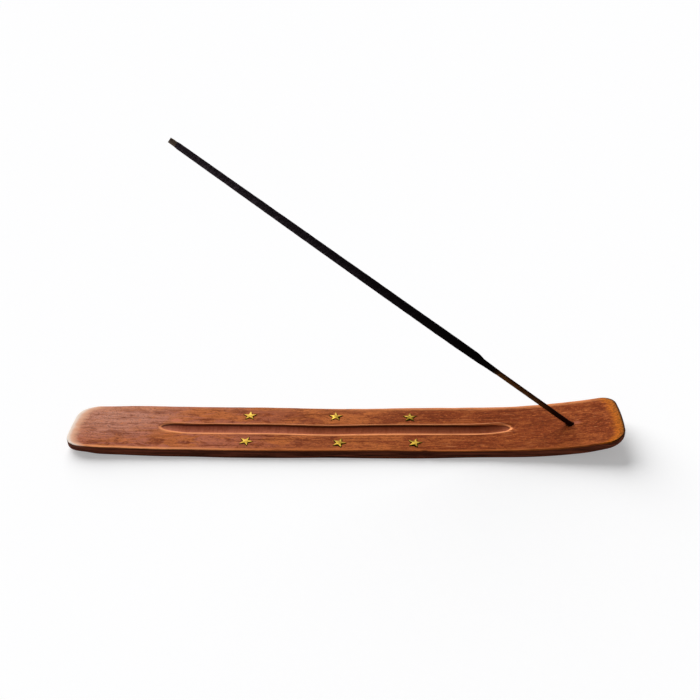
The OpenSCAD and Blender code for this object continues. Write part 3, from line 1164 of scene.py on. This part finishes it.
def dark_sides(n, board, colour):
    """The dark, streaky sides, darkest along their top as painted shade under the arris, and the hollows
    painted near black as shade.
    """
    streaks = n.noise(n.place((60, 400, 2200)), 4, 0.6)
    side = n.mix(n.stretch(streaks, 0.36, 0.64), shade(board.side, 1.35), shade(board.side, 0.35))
    # Painted shade: darker under the arris
    side = n.mix(n.times(n.attribute("side_top_shade"), 0.6), side, shade(board.side, 0.35))
    colour = n.mix(n.attribute("side"), colour, side)
    # Painted shade: the pockets and the stick hole near black
    return n.mix(n.attribute("hollow"), colour, board.soot_and_shade)


def star_brass(stars):
    """Brass with an olive tarnish; the star's walls down in the pocket are darkened almost to black as
    painted shade.
    """
    n = Finish("star_brass")
    smudge = n.noise(n.place((420, 420, 420)), 4, 0.6)
    scuffs = n.noise(n.place((2500, 900, 900)), 2, 0.5)
    tarnish = n.times(n.stretch(smudge, 0.38, 0.58, 0.30, 1.0), n.stretch(n.along_x(), 0.25, 0.62, 0.45, 1.0))
    colour = n.mix(tarnish, stars.brass, stars.tarnish)
    # Painted shade: the star's walls darkened almost to black
    colour = n.mix(n.times(n.attribute("wall"), 0.92), colour, shade(stars.tarnish, 0.08))
    n.shader.inputs["Metallic"].default_value = 1
    relief = n.plus(smudge, n.times(scuffs, 0.3))
    return n.finish(colour, n.stretch(smudge, 0.3, 0.7, 0.52, 0.72), relief, 0.16 * MM)


def smoked_bamboo(stick):
    """Dark bamboo with lighter fibres, blotches and a grey brown tip."""
    n = Finish("smoked_bamboo")
    fibres = n.noise(n.along_stick(stick, (50, 2600, 2600)), 4, 0.6)
    blotch = n.noise(n.along_stick(stick, (160, 500, 500)), 3, 0.5)
    light = n.times(n.stretch(fibres, 0.36, 0.60, 0.30, 0.85), n.attribute("brown"))
    colour = n.mix(light, stick.bamboo, stick.bamboo_light)
    colour = n.mix(n.stretch(blotch, 0.50, 0.68, 0.0, 0.35), colour, shade(stick.bamboo, 0.4))
    tip = n.mix(n.stretch(fibres, 0.40, 0.60), stick.bamboo_tip, shade(stick.bamboo_tip, 0.55))
    colour = n.mix(n.attribute("tip"), colour, tip)
    n.shader.inputs["Specular IOR Level"].default_value = 0.015
    return n.finish(colour, n.stretch(fibres, 0.3, 0.7, 0.50, 0.70), fibres, 0.12 * MM)


def charcoal_paste(stick):
    """Matt black paste, dusty towards its tip, with the bamboo showing through its tail."""
    n = Finish("charcoal_paste")
    powder = n.noise(n.place((2000, 2000, 2000)), 4, 0.65)
    lumps = n.noise(n.along_stick(stick, (260, 700, 700)), 3, 0.55)
    strokes = n.noise(n.along_stick(stick, (90, 1500, 1500)), 3, 0.6)
    dust = n.attribute("dust")
    dusty = n.times(n.stretch(powder, 0.40, 0.66, 0.15, 0.65), dust)
    colour = n.mix(dusty, stick.paste, stick.paste_dust)
    stroked = n.times(n.stretch(strokes, 0.46, 0.66), n.stretch(lumps, 0.35, 0.65, 0.25, 0.75))
    colour = n.mix(n.times(stroked, dust), colour, stick.paste_dust)
    through = n.times(n.attribute("thin"), n.stretch(strokes, 0.35, 0.60, 0.30, 0.75))
    colour = n.mix(through, colour, shade(stick.bamboo_light, 0.5))
    n.shader.inputs["Specular IOR Level"].default_value = 0.012
    return n.finish(colour, 0.93, n.plus(powder, n.plus(lumps, strokes)), 0.12 * MM)


# Pieces of the stick


# The paste's thickness on the stick's upper and lower side, in millimetres: (distance
# from the stick's foot, thickness), as the last dip left it lopsided
UPPER_WALL = ((44, -0.1), (46.0, -0.1), (46.7, 0.03), (50, 0.09), (53.8, 0.20), (55.8, 0.25),
              (56.4, 0.36), (58.6, 0.84), (60.5, 0.95), (70, 0.96), (84, 0.85), (120, 0.68),
              (160, 0.46), (200, 0.20), (214, 0.12))
LOWER_WALL = ((44, -0.1), (46.8, -0.1), (47.6, 0.06), (52.4, 0.18), (53.0, 0.22), (59.7, 0.46),
              (70, 0.60), (84, 0.70), (120, 0.64), (160, 0.44), (200, 0.20), (214, 0.12))
# Which way round the stick its brown side faces, from its upper side
BROWN_ANGLE = math.radians(-140)
# How far above the stick's foot its brown side begins, from dark to brown
BROWN_FROM = (12 * MM, 26 * MM)
# How far above the paste's foot its dust begins, over what length it grows, and how steeply
DUST_FROM = 12 * MM
DUST_RUN = 157 * MM
DUST_POWER = 1.75
# How far above the paste's foot it stays thin, from thinnest to full
THIN_TAIL = (MM, 5.5 * MM)


def rod(form, start, end, rings, sides, radius_at):
    """A rod along the stick's line with capped ends; radius_at(along, angle) gives its surface."""
    bm = bmesh.new()
    disc = bmesh.ops.create_circle(bm, cap_ends=True, segments=sides, radius=1)["verts"]
    bmesh.ops.translate(bm, verts=disc, vec=(0, 0, start))
    thicken(bm, end - start)
    bmesh.ops.subdivide_edges(bm, edges=uprights(bm), cuts=rings)
    caps = [face for face in bm.faces if len(face.verts) > 4]
    for vert in bm.verts:
        angle = math.atan2(vert.co.y, vert.co.x)
        radius = radius_at(vert.co.z, angle)
        vert.co.xy = (radius * math.cos(angle), radius * math.sin(angle))
    bmesh.ops.inset_region(bm, faces=caps, thickness=0.12 * MM, depth=0.0)
    for face in caps:
        bmesh.ops.poke(bm, faces=[face])
    turn = Matrix.Rotation(form.stick_lean, 4, "Y")
    bmesh.ops.transform(bm, matrix=Matrix.Translation(form.foot) @ turn, verts=bm.verts)
    return bm


def core_surface(stick, seed):
    """Split bamboo: a rod with slightly flattened sides and long fibres."""
    radius = stick.diameter / 2

    def surface(along, angle):
        flats = 0.025 * math.cos(4 * angle + 0.6)
        fibres = 0.015 * wobble(math.cos(angle) * 3, math.sin(angle) * 3, along / (30 * MM) + seed)
        end = 1 - 0.06 * fade(stick.length - along, 0, 0.4 * MM) - 0.12 * fade(along, 0, 0.4 * MM)
        return radius * (0.96 + flats + fibres) * end
    return surface


def wall_at(stops, along):
    """Thickness between the two stops on either side of a place."""
    place = along / MM
    for (start, first), (end, second) in zip(stops, stops[1:]):
        if place <= end:
            return (first + (second - first) * clamp((place - start) / (end - start))) * MM
    return stops[-1][1] * MM


def paste_surface(stick, seed):
    """The dipped paste: fullest low down, thin at the tip, with a lopsided tail."""
    core = stick.diameter / 2
    coat_end = stick.length - stick.bare_tip

    def surface(along, angle):
        upper = (1 + math.cos(angle)) / 2
        thick = wall_at(LOWER_WALL, along) * (1 - upper) + wall_at(UPPER_WALL, along) * upper
        around = (math.cos(angle), math.sin(angle))
        uneven = 0.05 * wobble(around[0] * 1.6, around[1] * 1.6, along / (4 * MM) + seed)
        lumps = 0.04 * wobble(around[0] * 3, around[1] * 3, along / (1.3 * MM) + seed)
        slant = 0.5 * MM * math.cos(angle + 0.8)
        end = fade(coat_end - along + slant, 0.4 * MM, 1.1 * MM)
        limit = clamp(thick / (0.3 * MM))
        return core + thick * (1 - 0.9 * end) + (uneven + lumps) * MM * limit
    return surface


def mark_bamboo(bm, form, stick):
    """Marks where the bamboo shows its brown, on its front well above the hole, and its grey tip."""
    brown = bm.verts.layers.float.new("brown")
    grey = bm.verts.layers.float.new("tip")
    up = Vector((math.sin(stick.angle), 0, math.cos(stick.angle)))
    for vert in bm.verts:
        offset = vert.co - form.foot
        along = offset.dot(form.stick_axis)
        turn = abs(math.atan2(offset.y, offset.dot(up)) - BROWN_ANGLE)
        turn = min(turn, 2 * math.pi - turn)
        vert[brown] = fade(turn, math.radians(60), math.radians(150)) * (1 - fade(along, *BROWN_FROM))
        vert[grey] = 1 - fade(along, stick.length - 4 * MM, stick.length - 3 * MM)


def mark_paste(bm, form, stick):
    """Marks how dusty the paste is, more towards its tip, and how thin at its tail."""
    dust = bm.verts.layers.float.new("dust")
    thin = bm.verts.layers.float.new("thin")
    for vert in bm.verts:
        above = (vert.co - form.foot).dot(form.stick_axis) - stick.bare_foot
        vert[dust] = clamp((above - DUST_FROM) / DUST_RUN) ** DUST_POWER
        vert[thin] = fade(above, *THIN_TAIL)


# Operators


class INCENSE_OT_stage(Operator):
    """Makes the camera, the soft lights and the white floor"""

    bl_idname = "incense.stage"
    bl_label = "Stage"

    def execute(self, context):
        stage = context.scene.incense_stage
        self.make_camera(context.scene, stage)
        self.make_key_light(stage)
        self.make_sky(context.scene, stage)
        self.make_floor(stage)
        context.scene.view_settings.view_transform = "Standard"
        return {"FINISHED"}

    def make_camera(self, scene, stage):
        """A camera that looks down on the holder from the front."""
        data = bpy.data.cameras.new("camera")
        data.lens = stage.lens
        data.sensor_width = SENSOR_WIDTH
        data.clip_start = 10 * MM
        away = Vector((math.sin(stage.azimuth) * math.cos(stage.elevation),
                       -math.cos(stage.azimuth) * math.cos(stage.elevation),
                       math.sin(stage.elevation)))
        place = away * stage.distance
        aim = Vector((0, stage.aim_behind, 0))
        facing = (place - aim).to_track_quat("Z", "Y").to_matrix().to_4x4()
        scene.camera = add_object("camera", data)
        scene.camera.matrix_world = Matrix.Translation(place) @ facing @ Matrix.Rotation(stage.roll, 4, "Z")

    def make_key_light(self, stage):
        """A wide, soft light from behind that casts the shadow forwards."""
        data = bpy.data.lights.new("key", "SUN")
        data.energy = stage.sun
        data.angle = stage.sun_width
        toward = Vector(KEY_TOWARD).normalized()
        add_object("key", data).matrix_world = toward.to_track_quat("Z", "Y").to_matrix().to_4x4()

    def make_sky(self, scene, stage):
        """Even light on the object, and plain white where the camera sees past it."""
        scene.world = bpy.data.worlds.new("sky")
        n = Nodes(scene.world)
        even = n.add("ShaderNodeBackground")
        even.inputs["Strength"].default_value = stage.sky
        white = n.add("ShaderNodeBackground")
        white.inputs["Color"].default_value = (1, 1, 1, 1)
        white.inputs["Strength"].default_value = 1
        mix = n.add("ShaderNodeMixShader")
        output = n.add("ShaderNodeOutputWorld")
        n.link(n.seen_directly(), mix.inputs["Fac"])
        n.link(even.outputs["Background"], mix.inputs[1])
        n.link(white.outputs["Background"], mix.inputs[2])
        n.link(mix.outputs["Shader"], output.inputs["Surface"])

    def make_floor(self, stage):
        """A pale floor that keeps shadows, lifted to white where the camera sees it."""
        bm = bmesh.new()
        bmesh.ops.create_grid(bm, x_segments=1, y_segments=1, size=FLOOR_REACH)
        mesh = as_mesh("floor", bm)
        floor = add_object("floor", mesh)
        material = bpy.data.materials.new("floor")
        mesh.materials.append(material)
        n = Nodes(material)
        diffuse = n.add("ShaderNodeBsdfDiffuse")
        diffuse.inputs["Color"].default_value = (*stage.floor, 1)
        glow = n.add("ShaderNodeEmission")
        total = n.add("ShaderNodeAddShader")
        output = n.add("ShaderNodeOutputMaterial")
        n.link(n.times(n.seen_directly(), stage.floor_glow), glow.inputs["Strength"])
        n.link(diffuse.outputs["BSDF"], total.inputs[0])
        n.link(glow.outputs["Emission"], total.inputs[1])
        n.link(total.outputs["Shader"], output.inputs["Surface"])


class INCENSE_OT_board(Operator):
    """Carves the stained wooden board with its groove, pockets and stick hole"""

    bl_idname = "incense.board"
    bl_label = "Board"

    def execute(self, context):
        scene = context.scene
        board, stars, stick = scene.incense_board, scene.incense_stars, scene.incense_stick
        seed = scene.incense_stage.seed
        form = BoardForm(board, stick)
        bm = slab(form, board, side_rows=6)
        shape_slab(bm, form, seed)
        cutters = [pocket_cutter(index, node, stars, seed) for index, node in enumerate(STAR_TURNS)]
        cutters.append(hole_cutter(form, stick))
        mesh = carve(as_mesh("slab", bm), joined(cutters))
        wear_maps(mesh, form, seed)
        place_piece("carved_board", mesh, stained_wood(board), HOLDER, "stained_wood", "board")
        return {"FINISHED"}


class INCENSE_OT_stars(Operator):
    """Cuts the six brass stars and lays them in their pockets"""

    bl_idname = "incense.stars"
    bl_label = "Stars"

    def execute(self, context):
        scene = context.scene
        stars = scene.incense_stars
        material = star_brass(stars)
        for index, node in enumerate(STAR_TURNS):
            low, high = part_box(node)
            thickness = high.z - low.z
            bm = star_outline(stars, index, scene.incense_stage.seed)
            thicken(bm, thickness)
            top_edges = [edge for edge in bm.edges if all(vert.co.z > thickness / 2 for vert in edge.verts)]
            bmesh.ops.bevel(bm, geom=top_edges, offset=stars.edge, segments=3, profile=0.5,
                            affect="EDGES", material=-1)
            # The walls below the rubbed edge, which the material darkens as painted shade
            wall = bm.verts.layers.float.new("wall")
            for vert in bm.verts:
                vert[wall] = fade(vert.co.z, thickness - stars.edge, thickness - stars.edge / 3)
            bmesh.ops.transform(bm, matrix=star_seat(node), verts=bm.verts)
            name = "brass_" + node
            place_piece(name, as_mesh(name, bm), material, HOLDER, "brass", node)
        return {"FINISHED"}


class INCENSE_OT_stick(Operator):
    """Splits the bamboo core of the incense stick"""

    bl_idname = "incense.stick"
    bl_label = "Bamboo"

    def execute(self, context):
        scene = context.scene
        stick = scene.incense_stick
        form = BoardForm(scene.incense_board, stick)
        surface = core_surface(stick, scene.incense_stage.seed)
        bm = rod(form, 0, stick.length, rings=160, sides=32, radius_at=surface)
        mark_bamboo(bm, form, stick)
        mesh = as_mesh("split_bamboo", bm)
        place_piece("split_bamboo", mesh, smoked_bamboo(stick), STICK, "bamboo", "bamboo_core")
        return {"FINISHED"}


class INCENSE_OT_paste(Operator):
    """Dips the incense paste round the bamboo"""

    bl_idname = "incense.paste"
    bl_label = "Paste"

    def execute(self, context):
        scene = context.scene
        stick = scene.incense_stick
        form = BoardForm(scene.incense_board, stick)
        surface = paste_surface(stick, scene.incense_stage.seed)
        bm = rod(form, stick.bare_foot, stick.length - stick.bare_tip, rings=480, sides=40, radius_at=surface)
        mark_paste(bm, form, stick)
        mesh = as_mesh("dipped_paste", bm)
        place_piece("dipped_paste", mesh, charcoal_paste(stick), STICK, "incense_paste", "incense_coat")
        return {"FINISHED"}


class INCENSE_PT_sidebar(Panel):
    """Lists the steps that build the incense stick holder"""

    bl_idname = "INCENSE_PT_sidebar"
    bl_label = "Incense Stick Holder"
    bl_space_type = "VIEW_3D"
    bl_region_type = "UI"
    bl_category = "Incense"

    def draw(self, context):
        scene = context.scene
        for settings, operator in (
                (scene.incense_stage, INCENSE_OT_stage), (scene.incense_board, INCENSE_OT_board),
                (scene.incense_stars, INCENSE_OT_stars), (scene.incense_stick, INCENSE_OT_stick),
                (scene.incense_stick, INCENSE_OT_paste)):
            box = self.layout.box()
            box.operator(operator.bl_idname)
            for name in settings.bl_rna.properties.keys():
                if name not in ("rna_type", "name"):
                    box.prop(settings, name)


CLASSES = (BoardSettings, StarSettings, StickSettings, StageSettings,
           INCENSE_OT_stage, INCENSE_OT_board, INCENSE_OT_stars, INCENSE_OT_stick, INCENSE_OT_paste,
           INCENSE_PT_sidebar)
SETTINGS = {"incense_board": BoardSettings, "incense_stars": StarSettings,
            "incense_stick": StickSettings, "incense_stage": StageSettings}


def register():
    for each in CLASSES:
        bpy.utils.register_class(each)
    for name, group in SETTINGS.items():
        setattr(bpy.types.Scene, name, PointerProperty(type=group))


def unregister():
    for name in SETTINGS:
        delattr(bpy.types.Scene, name)
    for each in reversed(CLASSES):
        bpy.utils.unregister_class(each)


def main():
    register()
    bpy.ops.incense.stage()
    bpy.ops.incense.board()
    bpy.ops.incense.stars()
    bpy.ops.incense.stick()
    bpy.ops.incense.paste()


if __name__ == "__main__":
    main()
